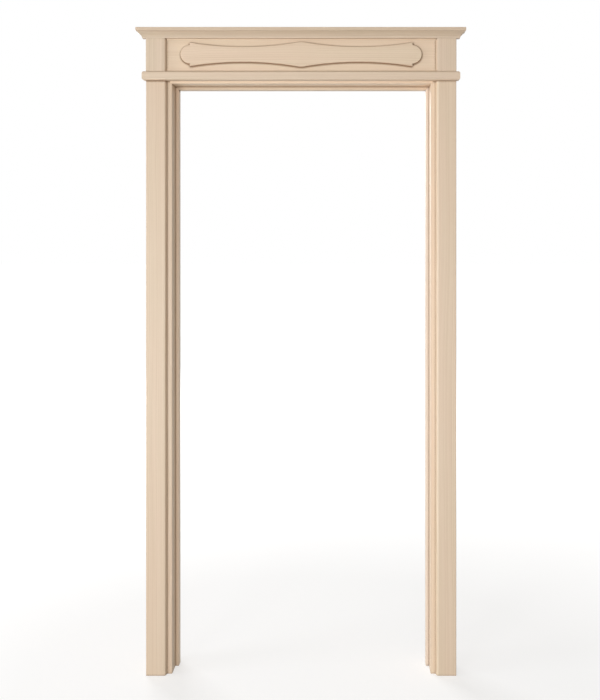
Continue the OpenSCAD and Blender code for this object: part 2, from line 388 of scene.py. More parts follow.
def new_shader_group(name, takes, gives):
    """A shader node group, with its input and output nodes. takes and gives are (name, kind, default)."""
    tree = bpy.data.node_groups.new(name, "ShaderNodeTree")
    for direction, sockets in (("INPUT", takes), ("OUTPUT", gives)):
        for socket_name, kind, default in sockets:
            made = tree.interface.new_socket(socket_name, in_out=direction, socket_type=kind)
            if default is not None:
                made.default_value = default
    return tree, tree.nodes.new("NodeGroupInput"), tree.nodes.new("NodeGroupOutput")


COLOUR, VALUE, VECTOR = "NodeSocketColor", "NodeSocketFloat", "NodeSocketVector"


def ring_figure_group():
    """Growth rings, broad streaks, fibres and pores of a board whose grain runs along Z."""
    tree, given, made = new_shader_group(
        "Ring Figure",
        [
            ("Place", VECTOR, None),
            ("Ring Spacing", VALUE, 3.4 * MM),
        ],
        [
            ("Rings", VALUE, None),
            ("Streaks", VALUE, None),
            ("Fibres", VALUE, None),
            ("Pores", VALUE, None),
        ],
    )
    place = given.outputs["Place"]
    # The trunk isn't quite straight or round, so the rings wander a little
    wander = new_node(tree, "ShaderNodeTexNoise", noise_dimensions="3D")
    feed(tree, wander.inputs["Vector"], vector_maths(tree, "MULTIPLY", place, (6.0, 6.0, 0.9)))
    wander.inputs["Scale"].default_value = 1.0
    wander.inputs["Detail"].default_value = 2.0
    shift = vector_maths(tree, "SUBTRACT", wander.outputs[1], (0.5, 0.5, 0.5))
    bent = vector_maths(tree, "ADD", place, vector_maths(tree, "MULTIPLY", shift, (0.05, 0.05, 0.0)))
    across = vector_maths(tree, "LENGTH", vector_maths(tree, "MULTIPLY", bent, (1.0, 1.0, 0.0)))
    years = new_node(tree, "ShaderNodeTexNoise", noise_dimensions="1D")
    feed(tree, years.inputs["W"], maths(tree, "DIVIDE", across, given.outputs["Ring Spacing"]))
    years.inputs["Scale"].default_value = 1.0
    years.inputs["Detail"].default_value = 3.0
    years.inputs["Roughness"].default_value = 0.62
    rings = span(tree, years.outputs[0], low=0.42, high=0.68)

    broad = noise(tree, bent, stretch=(55.0, 55.0, 1.1), detail=3.0)
    streaks = span(tree, broad, low=0.34, high=0.68)
    fine = noise(tree, place, stretch=(1500.0, 1500.0, 22.0), detail=2.0)
    fibres = span(tree, fine, low=0.3, high=0.7)
    short = noise(tree, place, stretch=(2600.0, 2600.0, 150.0), detail=1.0)
    dashes = span(tree, short, low=0.62, high=0.70)
    # Pores are fainter between the rings
    shown = span(tree, rings, low=0.1, high=0.8, to_low=0.25, to_high=1.0)
    pores = maths(tree, "MULTIPLY", dashes, shown)
    for name, value in (("Rings", rings), ("Streaks", streaks), ("Fibres", fibres), ("Pores", pores)):
        feed(tree, made.inputs[name], value)
    return tree


def board_finish_group(figure_group):
    """Colour, roughness and height of a planed and lacquered board."""
    tree, given, made = new_shader_group(
        "Board Finish",
        [
            ("Place", VECTOR, None),
            ("Cut Across", VALUE, 0.0),
            ("Pale", COLOUR, (0.8, 0.64, 0.48, 1.0)),
            ("Deep", COLOUR, (0.62, 0.455, 0.3, 1.0)),
            ("Ring Spacing", VALUE, 3.4 * MM),
            ("Ring Strength", VALUE, 0.34),
            ("Tone And Shade", VALUE, 1.0),
            ("Greyness", VALUE, 0.0),
        ],
        [
            ("Colour", COLOUR, None),
            ("Roughness", VALUE, None),
            ("Height", VALUE, None),
        ],
    )
    figure = new_node(tree, "ShaderNodeGroup", node_tree=figure_group)
    feed(tree, figure.inputs["Place"], given.outputs["Place"])
    feed(tree, figure.inputs["Ring Spacing"], given.outputs["Ring Spacing"])
    rings, streaks, fibres, pores = (figure.outputs[n] for n in ("Rings", "Streaks", "Fibres", "Pores"))

    # How far the colour goes from pale to deep
    depth = maths(tree, "MULTIPLY", rings, given.outputs["Ring Strength"])
    depth = maths(tree, "MULTIPLY_ADD", streaks, STREAKS_DEEPEN, depth)
    depth = maths(tree, "MULTIPLY_ADD", fibres, FIBRES_DEEPEN, depth)
    depth = maths(tree, "MULTIPLY_ADD", pores, PORES_DEEPEN, depth)
    ends = given.outputs["Cut Across"]
    depth = maths(tree, "MULTIPLY_ADD", ends, END_GRAIN_DEEPENS, depth, clamp=True)
    colour = blend_colours(tree, depth, given.outputs["Pale"], given.outputs["Deep"])

    # The colour drifts a little between warm and green
    drift = noise(tree, given.outputs["Place"], stretch=(23.0, 23.0, 1.7), detail=1.0)
    colour = blend_colours(
        tree,
        span(tree, drift, low=0.35, high=0.65),
        vector_maths(tree, "MULTIPLY", colour, (1.005, 0.994, 0.992)),
        vector_maths(tree, "MULTIPLY", colour, (0.993, 1.006, 0.993)),
    )
    weights = (0.35, 0.45, 0.20)
    grey = vector_maths(tree, "DOT_PRODUCT", colour, weights)
    colour = blend_colours(tree, given.outputs["Greyness"], colour, grey)
    # The colour scaled by the board's tone and shade: partly its own, partly painted light and shade
    colour = vector_maths(tree, "SCALE", colour)
    feed(tree, colour.node.inputs["Scale"], given.outputs["Tone And Shade"])
    feed(tree, made.inputs["Colour"], colour)

    dull = maths(tree, "MULTIPLY_ADD", pores, PORES_ROUGHEN, BOARD_ROUGHNESS)
    dull = maths(tree, "MULTIPLY_ADD", fibres, FIBRES_ROUGHEN, dull)
    dull = maths(tree, "MULTIPLY_ADD", ends, END_GRAIN_ROUGHENS, dull)
    feed(tree, made.inputs["Roughness"], dull)

    height = maths(tree, "MULTIPLY", pores, -1.0)
    height = maths(tree, "MULTIPLY_ADD", fibres, FIBRES_RISE, height)
    height = maths(tree, "MULTIPLY_ADD", rings, -RINGS_SINK, height)
    feed(tree, made.inputs["Height"], height)
    return tree


def group_named(name, make, *parts):
    """A node group by its name, built the first time that it is asked for."""
    return bpy.data.node_groups.get(name) or make(*parts)


def new_material(name):
    """An empty node material with its Principled BSDF."""
    material = bpy.data.materials.new(name)
    material.use_nodes = True
    tree = material.node_tree
    tree.nodes.clear()
    shader = new_node(tree, "ShaderNodeBsdfPrincipled")
    output = new_node(tree, "ShaderNodeOutputMaterial")
    tree.links.new(shader.outputs[0], output.inputs[0])
    return material, tree, shader


# The photo's inner corners are darker than this light makes them, so a part of that shade is painted
# into the colour: how far the painted shade reaches from the corner, what it does to the colour, and
# the shares of open surroundings at which it is whole and at which it ends
CREVICE_SHADE_REACH = 9 * MM
CREVICE_SHADE_TINT = (0.36, 0.27, 0.19)
CREVICE_SHADE_WHOLE, CREVICE_SHADE_END = 0.30, 0.94
CREVICE_SHADE_SAMPLES = 8
# The painted shade leans upwards, so that corners under an edge come out darker than those above one
CREVICE_SHADE_LEAN = (0.0, 0.0, 0.3)
# How much painted shade each timber shows, where it isn't 1, fitted to the photo's lines
CREVICE_SHADE_SHARE = {
    "ash_left_casing": 1.5,
    "ash_scalloped_panel": 2.0,
    "ash_header_board": 1.9,
    "ash_astragal": 0.3,
    "ash_head_jamb": 0.1,
    "ash_cap_board": 0.3,
    "ash_crown_front": 0.25,
    "ash_crown_left_return": 0.25,
    "ash_crown_right_return": 0.25,
}
# The photo has hardly any such shade where the frieze meets the astragal and the crown: the heights
# between which the painted shade comes in, and what is left of it beyond them
FRIEZE = "ash_header_board"
FRIEZE_SHADE_FADES = ((2.190, 2.200), (2.304, 2.297))
FRIEZE_SHADE_REST = 0.05

# The photo has a pale band along the inner edge of the right leg alone, and here it is a painted
# highlight: the timber, the distances from the middle at which the band is whole and at which it
# ends, and how much paler it is. Whether light or finish makes it isn't known, and here it is a
# colour: the timber, the distances from the middle at which the band is whole and at which it
# ends, and how much paler it is
PAINTED_HIGHLIGHT_TIMBER = "ash_right_casing"
PAINTED_HIGHLIGHT_WHOLE, PAINTED_HIGHLIGHT_END = 0.4960, 0.5000
PAINTED_HIGHLIGHT_GAIN = (1.16, 1.20, 1.22)


def painted_crevice_shade(tree, name, colour, normal):
    """The colour with painted shade darkening its inner corners."""
    hollow = new_node(tree, "ShaderNodeAmbientOcclusion", samples=CREVICE_SHADE_SAMPLES)
    hollow.inputs["Distance"].default_value = CREVICE_SHADE_REACH
    lean = vector_maths(tree, "NORMALIZE", vector_maths(tree, "ADD", normal, CREVICE_SHADE_LEAN))
    tree.links.new(lean, hollow.inputs["Normal"])
    strength = CREVICE_SHADE_SHARE.get(name, 1.0)
    if name == FRIEZE:
        place = new_node(tree, "ShaderNodeSeparateXYZ")
        tree.links.new(new_node(tree, "ShaderNodeTexCoord").outputs["Object"], place.inputs[0])
        for rest, whole in FRIEZE_SHADE_FADES:
            fade = span(tree, place.outputs[2], rest, whole, FRIEZE_SHADE_REST, 1.0)
            strength = maths(tree, "MULTIPLY", fade, strength)
    share = span(tree, hollow.outputs["AO"], CREVICE_SHADE_WHOLE, CREVICE_SHADE_END, 1.0, 0.0)
    share = maths(tree, "MULTIPLY", share, strength, clamp=True)
    return blend_colours(tree, share, colour, vector_maths(tree, "MULTIPLY", colour, CREVICE_SHADE_TINT))


def timber_material(name, grain, seed, tone_and_shade, greyness, pale, deep, ring_spacing):
    """The finish of one board, cut from its own place in the trunk."""
    material, tree, shader = new_material(name)
    board_group = group_named(
        "Board Finish", board_finish_group, group_named("Ring Figure", ring_figure_group)
    )
    where = new_node(tree, "ShaderNodeTexCoord")
    along = new_node(tree, "ShaderNodeMapping", vector_type="POINT")
    tree.links.new(where.outputs["Object"], along.inputs["Vector"])
    along.inputs["Rotation"].default_value = GRAIN_TURN[grain]
    turn = seed * TRUNK_TURN
    reach = TRUNK_REACH + TRUNK_STEP * (seed % 4)
    along.inputs["Location"].default_value = (
        reach * math.cos(turn) + TRUNK_ASIDE[0],
        reach * math.sin(turn) + TRUNK_ASIDE[1],
        TRUNK_RISE * seed,
    )
    board = new_node(tree, "ShaderNodeGroup", node_tree=board_group)
    tree.links.new(along.outputs[0], board.inputs["Place"])
    # The ends of a board, where the saw cut across the grain, are deeper in colour
    grain_direction = {UPRIGHT: (0, 0, 1), ACROSS: (1, 0, 0), INWARD: (0, 1, 0)}[grain]
    facing = vector_maths(tree, "DOT_PRODUCT", where.outputs["Normal"], grain_direction)
    end_grain = span(tree, maths(tree, "ABSOLUTE", facing), low=0.6, high=0.95)
    tree.links.new(end_grain, board.inputs["Cut Across"])
    board.inputs["Pale"].default_value = (*pale, 1.0)
    board.inputs["Deep"].default_value = (*deep, 1.0)
    board.inputs["Ring Spacing"].default_value = ring_spacing
    board.inputs["Tone And Shade"].default_value = tone_and_shade
    board.inputs["Greyness"].default_value = greyness
    colour = board.outputs["Colour"]
    # Painted highlight along the inner edge of the right leg
    if name == PAINTED_HIGHLIGHT_TIMBER:
        sides = new_node(tree, "ShaderNodeSeparateXYZ")
        tree.links.new(where.outputs["Object"], sides.inputs[0])
        from_middle = maths(tree, "ABSOLUTE", sides.outputs[0])
        inward = span(tree, from_middle, PAINTED_HIGHLIGHT_WHOLE, PAINTED_HIGHLIGHT_END, 1.0, 0.0)
        colour = blend_colours(tree, inward, colour, vector_maths(tree, "MULTIPLY", colour, PAINTED_HIGHLIGHT_GAIN))
    # Painted shade in the inner corners and under edges
    colour = painted_crevice_shade(tree, name, colour, where.outputs["Normal"])
    tree.links.new(colour, shader.inputs["Base Color"])
    tree.links.new(board.outputs["Roughness"], shader.inputs["Roughness"])
    bump = new_node(tree, "ShaderNodeBump")
    bump.inputs["Strength"].default_value = 0.35
    bump.inputs["Distance"].default_value = 0.12 * MM
    tree.links.new(board.outputs["Height"], bump.inputs["Height"])
    tree.links.new(bump.outputs[0], shader.inputs["Normal"])
    shader.inputs["Coat Weight"].default_value = 0.06
    shader.inputs["Coat Roughness"].default_value = 0.4
    return material


def soften_arrises(piece, width):
    """Rounds the sharp edges as sanding does, and shades flats flat and rounds round."""
    soft = piece.modifiers.new("Arrises", "BEVEL")
    soft.limit_method = "ANGLE"
    soft.angle_limit = SHARP_ANGLE
    soft.width = width
    soft.segments = 2
    soft.use_clamp_overlap = True
    even = piece.modifiers.new("Flats", "WEIGHTED_NORMAL")
    even.mode = "FACE_AREA"
    even.keep_sharp = True


def settle(piece):
    """Turns a piece and its modifiers into a plain mesh."""
    seen = piece.evaluated_get(bpy.context.evaluated_depsgraph_get())
    mesh = bpy.data.meshes.new_from_object(seen)
    piece.modifiers.clear()
    piece.data = mesh
    return piece


def narrow_edge(work, corners):
    """Moves the corners of a section's inner edge from the CAD's places to this scene's."""
    for (old_x, old_y), (new_x, new_y) in corners:
        moved = 0
        for vertex in work.verts:
            x, y = abs(vertex.co.x) / MM, vertex.co.y / MM
            if math.hypot(x - old_x, y - old_y) < NEAR_ENOUGH:
                vertex.co.x = math.copysign(new_x * MM, vertex.co.x)
                vertex.co.y = new_y * MM
                moved += 1
        if not moved:
            raise RuntimeError(f"The section has no corner at {old_x}, {old_y}")


def lower_panel(work):
    """Brings the lower outline of the scalloped panel up a little."""
    for vertex in work.verts:
        vertex.co.z = PANEL_TOP - (PANEL_TOP - vertex.co.z) * PANEL_SQUASH


def crown_moulding(work, node_name):
    """Sweeps the crown's section along the front or a side, mitred at the corners."""
    corner_x, corner_y = CROWN_CORNER
    ends = []
    for side in (-1, 1):
        ring = []
        for out, up in CROWN_SECTION:
            if node_name == "crown_front":
                place = (side * (corner_x + out), corner_y - out, CROWN_FOOT + up)
            else:
                hand = -1 if "left" in node_name else 1
                depth = corner_y - out if side < 0 else WALL_LINE
                place = (hand * (corner_x + out), depth, CROWN_FOOT + up)
            ring.append(work.verts.new([size * MM for size in place]))
        ends.append(ring)
    first, last = ends
    count = len(CROWN_SECTION)
    for index in range(count):
        after = (index + 1) % count
        work.faces.new((first[index], first[after], last[after], last[index]))
    work.faces.new(first)
    work.faces.new(last)
    bmesh.ops.recalc_face_normals(work, faces=work.faces)


def planed_timber(node_name, grain, seed, tone_and_shade, greyness):
    """A timber with softened arrises and its wood, in the node's place."""
    mesh = bpy.data.meshes.new(node_name + "_timber")
    work = bmesh.new()
    if node_name in CROWN:
        crown_moulding(work, node_name)
    else:
        work.from_mesh(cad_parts[node_name].data)
        bmesh.ops.remove_doubles(work, verts=work.verts, dist=WELD)
        bmesh.ops.dissolve_limit(
            work, angle_limit=FLAT_ANGLE, verts=work.verts, edges=work.edges
        )
    if node_name in NARROWED_EDGES:
        narrow_edge(work, NARROWED_EDGES[node_name])
    if node_name == "scalloped_panel":
        lower_panel(work)
    for face in work.faces:
        face.smooth = True
    work.to_mesh(mesh)
    work.free()
    finish = bpy.context.scene.timber_finish
    wood = timber_material(
        "ash_" + node_name, grain, seed, tone_and_shade, greyness, finish.pale, finish.deep, finish.ring_spacing
    )
    mesh.materials.clear()
    mesh.materials.append(wood)
    piece = bpy.data.objects.new(node_name + "_timber", mesh)
    bpy.context.scene.collection.objects.link(piece)
    soften_arrises(piece, finish.arris)
    settle(piece)
    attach(piece, "root")
    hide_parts(node_name)
    return piece


def plane_all(timbers):
    """Makes every timber of a group."""
    for node_name, look in timbers.items():
        planed_timber(node_name, *look)


# Zinc where its sheen is cloudy and where it is clear, its roughness, and what the clouds and the
# scratches add to that
ZINC_CLOUDY, ZINC_CLEAR = (0.66, 0.66, 0.69), (0.80, 0.80, 0.81)
ZINC_ROUGHNESS, CLOUDS_ROUGHEN, SCRATCHES_ROUGHEN = 0.18, 0.25, 0.15


def zinc_material():
    """Bright zinc plate, with its cloudy sheen and fine scratches from the driver."""
    material, tree, shader = new_material("zinc_plate")
    place = new_node(tree, "ShaderNodeTexCoord").outputs["Object"]
    clouds = noise(tree, place, stretch=(900.0, 900.0, 900.0), detail=3.0)
    scratches = noise(tree, place, stretch=(7000.0, 7000.0, 500.0), detail=1.0)
    clear = span(tree, clouds, low=0.3, high=0.7)
    colour = blend_colours(tree, clear, ZINC_CLOUDY, ZINC_CLEAR)
    tree.links.new(colour, shader.inputs["Base Color"])
    dull = maths(tree, "MULTIPLY_ADD", clouds, CLOUDS_ROUGHEN, ZINC_ROUGHNESS)
    dull = maths(tree, "MULTIPLY_ADD", scratches, SCRATCHES_ROUGHEN, dull)
    tree.links.new(dull, shader.inputs["Roughness"])
    shader.inputs["Metallic"].default_value = 1.0
    bump = new_node(tree, "ShaderNodeBump")
    bump.inputs["Strength"].default_value = 0.15
    bump.inputs["Distance"].default_value = 0.05 * MM
    tree.links.new(scratches, bump.inputs["Height"])
    tree.links.new(bump.outputs[0], shader.inputs["Normal"])
    return material


GEOMETRY, STUFF = "NodeSocketGeometry", "NodeSocketMaterial"

# Vertices closer than this are merged where a turned shape closes on itself
SEAM = 0.002 * MM


def new_turning(name, sizes):
    """A Geometry Nodes tree that stands a turned shape on points, with its sizes as inputs."""
    tree = bpy.data.node_groups.new(name, "GeometryNodeTree")
    tree.is_modifier = True
    tree.interface.new_socket("Points", in_out="INPUT", socket_type=GEOMETRY)
    for size, default in sizes:
        made = tree.interface.new_socket(size, in_out="INPUT", socket_type=VALUE)
        made.default_value = default
    tree.interface.new_socket("Material", in_out="INPUT", socket_type=STUFF)
    tree.interface.new_socket("Shapes", in_out="OUTPUT", socket_type=GEOMETRY)
    return tree, tree.nodes.new("NodeGroupInput"), tree.nodes.new("NodeGroupOutput")


def lathe_sheet(tree, rings, segments):
    """A flat sheet to be rolled into a turned shape, and its places along and round the axis."""
    sheet = new_node(tree, "GeometryNodeMeshGrid")
    sheet.inputs["Size X"].default_value = 1.0
    sheet.inputs["Size Y"].default_value = 1.0
    sheet.inputs["Vertices X"].default_value = rings + 1
    sheet.inputs["Vertices Y"].default_value = segments + 1
    place = new_node(tree, "ShaderNodeSeparateXYZ")
    tree.links.new(new_node(tree, "GeometryNodeInputPosition").outputs[0], place.inputs[0])
    along = maths(tree, "ADD", place.outputs[0], 0.5)
    around = maths(tree, "ADD", place.outputs[1], 0.5)
    return sheet.outputs["Mesh"], along, around


def rolled(tree, sheet, around, radius, height):
    """The sheet rolled round the Z axis, closed along its seam and at its poles."""
    angle = maths(tree, "MULTIPLY", around, 2 * math.pi)
    place = new_node(tree, "ShaderNodeCombineXYZ")
    feed(tree, place.inputs[0], maths(tree, "MULTIPLY", radius, maths(tree, "COSINE", angle)))
    feed(tree, place.inputs[1], maths(tree, "MULTIPLY", radius, maths(tree, "SINE", angle)))
    feed(tree, place.inputs[2], height)
    roll = new_node(tree, "GeometryNodeSetPosition")
    feed(tree, roll.inputs["Geometry"], sheet)
    feed(tree, roll.inputs["Position"], place.outputs[0])
    close = new_node(tree, "GeometryNodeMergeByDistance")
    feed(tree, close.inputs["Geometry"], roll.outputs[0])
    close.inputs["Distance"].default_value = SEAM
    # The sheet's upper side comes to lie inside, so the faces are turned outwards
    outwards = new_node(tree, "GeometryNodeFlipFaces")
    feed(tree, outwards.inputs[0], close.outputs[0])
    return outwards.outputs[0]


def stood_on_points(tree, given, made, shape):
    """Ends a tree: the shape on each point, turned as the point says, made real and finished."""
    turn = new_node(tree, "GeometryNodeInputNamedAttribute", data_type="FLOAT_VECTOR")
    turn.inputs["Name"].default_value = "turn"
    rotation = new_node(tree, "FunctionNodeEulerToRotation")
    feed(tree, rotation.inputs[0], turn.outputs["Attribute"])
    stand = new_node(tree, "GeometryNodeInstanceOnPoints")
    feed(tree, stand.inputs["Points"], given.outputs["Points"])
    feed(tree, stand.inputs["Instance"], shape)
    feed(tree, stand.inputs["Rotation"], rotation.outputs[0])
    real = new_node(tree, "GeometryNodeRealizeInstances")
    feed(tree, real.inputs[0], stand.outputs[0])
    finish = new_node(tree, "GeometryNodeSetMaterial")
    feed(tree, finish.inputs["Geometry"], real.outputs[0])
    feed(tree, finish.inputs["Material"], given.outputs["Material"])
    feed(tree, made.inputs[0], finish.outputs[0])
    return tree


# A screw's core as a share of its radius, half the width of the thread's ridge as a share of
# its pitch, and the shares of the length between which the thread rises. Then the sizes of the
# recess's two slots along X, Y and Z, as shares of the head's diameter: half of Z is above the head
CORE_SHARE = 0.68
RIDGE_HALF = 0.22
THREAD_START = (0.36, 0.40)
RECESS_SLOTS = ((0.52, 0.12, 0.34), (0.12, 0.50, 0.30))


def screw_turning():
    """Countersunk screws with a cross recess, a smooth neck, a thread and a point."""
    tree, given, made = new_turning(
        "Threaded Screws",
        [("Length", 70 * MM), ("Diameter", 4.5 * MM), ("Head Diameter", 9 * MM), ("Pitch", 2.2 * MM)],
    )
    length, pitch = given.outputs["Length"], given.outputs["Pitch"]
    radius = maths(tree, "MULTIPLY", given.outputs["Diameter"], 0.5)
    head = maths(tree, "MULTIPLY", given.outputs["Head Diameter"], 0.5)
    sheet, along, around = lathe_sheet(tree, rings=220, segments=24)
    # The first part of the sheet is the flat of the head, the rest runs down to the point
    flat_share = 0.03
    depth = maths(tree, "MULTIPLY", span(tree, along, flat_share, 1.0), length)
    flat = maths(tree, "MULTIPLY", head, span(tree, along, 0.0, flat_share))
    cone = maths(tree, "SUBTRACT", head, depth)
    left = maths(tree, "SUBTRACT", length, depth)
    core = maths(tree, "MULTIPLY", radius, CORE_SHARE)
    # The ridge of the thread rises where the depth has made one more turn than the angle
    turns = maths(tree, "SUBTRACT", maths(tree, "DIVIDE", depth, pitch), around)
    from_ridge = maths(tree, "ABSOLUTE", maths(tree, "SUBTRACT", maths(tree, "FRACT", turns), 0.5))
    ridge = span(tree, from_ridge, 0.0, RIDGE_HALF, 1.0, 0.0)
    start = span(tree, maths(tree, "DIVIDE", depth, length), *THREAD_START)
    ridge = maths(tree, "MULTIPLY", ridge, start)
    body = maths(tree, "MULTIPLY_ADD", ridge, maths(tree, "SUBTRACT", radius, core), core)
    body = maths(tree, "MINIMUM", body, maths(tree, "MULTIPLY", left, 0.5))
    outline = maths(tree, "MINIMUM", flat, maths(tree, "MAXIMUM", cone, body))
    blank = rolled(tree, sheet, around, outline, depth)
    # Two crossed slots make the recess for the driver. They are cut one after the other, and to
    # different depths, so that no two faces of the cutters lie in one plane.
    shape = blank
    for reach_x, reach_y, reach_z in RECESS_SLOTS:
        slot = new_node(tree, "GeometryNodeMeshCube")
        size = vector_maths(tree, "SCALE", (reach_x, reach_y, reach_z))
        feed(tree, size.node.inputs["Scale"], given.outputs["Head Diameter"])
        feed(tree, slot.inputs["Size"], size)
        cut = new_node(tree, "GeometryNodeMeshBoolean", operation="DIFFERENCE")
        feed(tree, cut.inputs["Mesh 1"], shape)
        feed(tree, cut.inputs["Mesh 2"], slot.outputs["Mesh"])
        shape = cut.outputs["Mesh"]
    return stood_on_points(tree, given, made, shape)


# Number and depth of a dowel's flutes, and its chamfer as a share of its radius
FLUTES = 16
FLUTE_DEPTH = 0.35 * MM
CHAMFER_SHARE = 0.22


def dowel_turning():
    """Fluted dowels with chamfered ends, with the middle of each on its point."""
    tree, given, made = new_turning("Fluted Dowels", [("Length", 40 * MM), ("Diameter", 8 * MM)])
    radius = maths(tree, "MULTIPLY", given.outputs["Diameter"], 0.5)
    half = maths(tree, "MULTIPLY", given.outputs["Length"], 0.5)
    sheet, along, around = lathe_sheet(tree, rings=48, segments=96)
    # Both ends are alike: the flat end face, the chamfer, then the flutes
    end_share = 0.0625
    from_end = maths(tree, "MINIMUM", along, maths(tree, "SUBTRACT", 1.0, along))
    depth = maths(tree, "MULTIPLY", span(tree, from_end, end_share, 0.5), half)
    chamfer = maths(tree, "MULTIPLY", radius, CHAMFER_SHARE)
    face = maths(tree, "SUBTRACT", radius, chamfer)
    edge = maths(tree, "ADD", face, maths(tree, "MINIMUM", chamfer, depth))
    edge = maths(tree, "MULTIPLY", edge, span(tree, from_end, 0.0, end_share))
    wave = maths(tree, "COSINE", maths(tree, "MULTIPLY", around, 2 * math.pi * FLUTES))
    groove = maths(tree, "MULTIPLY", span(tree, wave, 0.0, 1.0), FLUTE_DEPTH)
    groove_start = maths(tree, "MULTIPLY", chamfer, 2.0)
    groove = maths(tree, "MULTIPLY", groove, span(tree, depth, chamfer, groove_start))
    outline = maths(tree, "SUBTRACT", edge, groove)
    above = maths(tree, "SIGN", maths(tree, "SUBTRACT", along, 0.5))
    height = maths(tree, "MULTIPLY", above, maths(tree, "SUBTRACT", half, depth))
    return stood_on_points(tree, given, made, rolled(tree, sheet, around, outline, height))


def turned_fixings(node_name, places, turning, sizes, material):
    """Stands screws or dowels in their holes as one plain mesh, in the node's place."""
    points = bpy.data.meshes.new(node_name + "_places")
    points.from_pydata([place for place, turn in places], [], [])
    turns = points.attributes.new("turn", "FLOAT_VECTOR", "POINT")
    for item, (place, turn) in zip(turns.data, places):
        item.vector = turn
    piece = bpy.data.objects.new(node_name + "_turned", points)
    bpy.context.scene.collection.objects.link(piece)
    modifier = piece.modifiers.new("Turning", "NODES")
    modifier.node_group = turning
    for item in turning.interface.items_tree:
        if item.in_out == "INPUT" and item.name in sizes:
            modifier[item.identifier] = sizes[item.name]
        elif item.in_out == "INPUT" and item.name == "Material":
            modifier[item.identifier] = material
    settle(piece)
    work = bmesh.new()
    work.from_mesh(piece.data)
    for face in work.faces:
        face.smooth = True
    work.to_mesh(piece.data)
    work.free()
    piece.data.set_sharp_from_angle(angle=SHARP_ANGLE)
    piece.data.name = piece.name
    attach(piece, "root")
    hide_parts(node_name)
    return piece


class DOORFRAME_OT_lining(bpy.types.Operator):
    """Makes the two jambs and the head of the lining"""

    bl_idname = "doorframe.lining"
    bl_label = "Lining"

    def execute(self, context):
        plane_all(LINING)
        return {"FINISHED"}


class DOORFRAME_OT_stops(bpy.types.Operator):
    """Makes the three door stops that are planted on the lining"""

    bl_idname = "doorframe.stops"
    bl_label = "Stops"

    def execute(self, context):
        plane_all(STOPS)
        return {"FINISHED"}


class DOORFRAME_OT_casings(bpy.types.Operator):
    """Makes the two flat leg casings"""

    bl_idname = "doorframe.casings"
    bl_label = "Leg Casings"

    def execute(self, context):
        plane_all(CASINGS)
        return {"FINISHED"}


class DOORFRAME_OT_crosshead(bpy.types.Operator):
    """Makes the astragal, the frieze with its blocks and panel, the crown and the cap board"""

    bl_idname = "doorframe.crosshead"
    bl_label = "Crosshead"

    def execute(self, context):
        plane_all(CROSSHEAD)
        plane_all(CROWN)
        return {"FINISHED"}


class DOORFRAME_OT_screws(bpy.types.Operator):
    """Makes the screws in the corners of the lining and in the cap board"""

    bl_idname = "doorframe.screws"
    bl_label = "Screws"

    def execute(self, context):
        fixings = context.scene.fixing_sizes
        turning = screw_turning()
        zinc = zinc_material()
        rows = (
            ("corner_screws", CORNER_SCREWS, fixings.corner_length),
            ("cap_screws", CAP_SCREWS, fixings.cap_length),
        )
        for node_name, places, length in rows:
            sizes = {
                "Length": length,
                "Diameter": fixings.screw_width,
                "Head Diameter": fixings.head_width,
                "Pitch": fixings.thread_pitch,
            }
            turned_fixings(node_name, places, turning, sizes, zinc)
        return {"FINISHED"}


class DOORFRAME_OT_dowels(bpy.types.Operator):
    """Makes the fluted dowels between the legs and the astragal"""

    bl_idname = "doorframe.dowels"
    bl_label = "Dowels"

    def execute(self, context):
        fixings = context.scene.fixing_sizes
        beech = timber_material(
            "beech_dowels",
            UPRIGHT,
            seed=18,
            tone_and_shade=1.0,
            greyness=0.0,
            pale=(0.70, 0.50, 0.33),
            deep=(0.52, 0.34, 0.20),
            ring_spacing=2.0 * MM,
        )
        sizes = {"Length": fixings.dowel_length, "Diameter": fixings.dowel_width}
        turned_fixings("leg_dowels", LEG_DOWELS, dowel_turning(), sizes, beech)
        return {"FINISHED"}


# The floor's colour, the distances from the middle that count as near and far, and the glow
# that makes it white to the camera at each
FLOOR_COLOUR = (0.50, 0.50, 0.50)
FLOOR_NEAR, FLOOR_FAR = 1.0, 3.5
FLOOR_LIFT_NEAR, FLOOR_LIFT_FAR = 0.60, 0.85


def floor_material():
    """White to the camera apart from the shadow that the frame casts."""
    material = bpy.data.materials.new("studio_floor")
    material.use_nodes = True
    tree = material.node_tree
    tree.nodes.clear()
    matt = new_node(tree, "ShaderNodeBsdfDiffuse")
    matt.inputs["Color"].default_value = (*FLOOR_COLOUR, 1.0)
    lift = new_node(tree, "ShaderNodeEmission")
    where = new_node(tree, "ShaderNodeTexCoord")
    away = vector_maths(tree, "LENGTH", where.outputs["Object"])
    strength = span(tree, away, FLOOR_NEAR, FLOOR_FAR, FLOOR_LIFT_NEAR, FLOOR_LIFT_FAR)
    tree.links.new(maths(tree, "MULTIPLY", seen_directly(tree), strength), lift.inputs["Strength"])
    both = new_node(tree, "ShaderNodeAddShader")
    tree.links.new(matt.outputs[0], both.inputs[0])
    tree.links.new(lift.outputs[0], both.inputs[1])
    output = new_node(tree, "ShaderNodeOutputMaterial")
    tree.links.new(both.outputs[0], output.inputs[0])
    return material


def seen_directly(tree):
    """1 for what the camera sees, straight or in a reflection or through glass, and 0 for light."""
    path = new_node(tree, "ShaderNodeLightPath")
    mirrored = maths(tree, "MAXIMUM", path.outputs["Is Glossy Ray"], path.outputs["Is Transmission Ray"])
    return maths(tree, "MAXIMUM", path.outputs["Is Camera Ray"], mirrored)


def soft_lamp(name, place, target, power, size):
    """A large soft lamp that shines on a point."""
    data = bpy.data.lights.new(name, "AREA")
    data.shape = "RECTANGLE"
    data.size, data.size_y = size
    data.energy = power
    data.color = LAMP_TINT
    lamp = bpy.data.objects.new(name, data)
    bpy.context.scene.collection.objects.link(lamp)
    lamp.location = place
    lamp.visible_camera = False
    lamp.rotation_euler = (Vector(target) - Vector(place)).to_track_quat("-Z", "Y").to_euler()
    return lamp


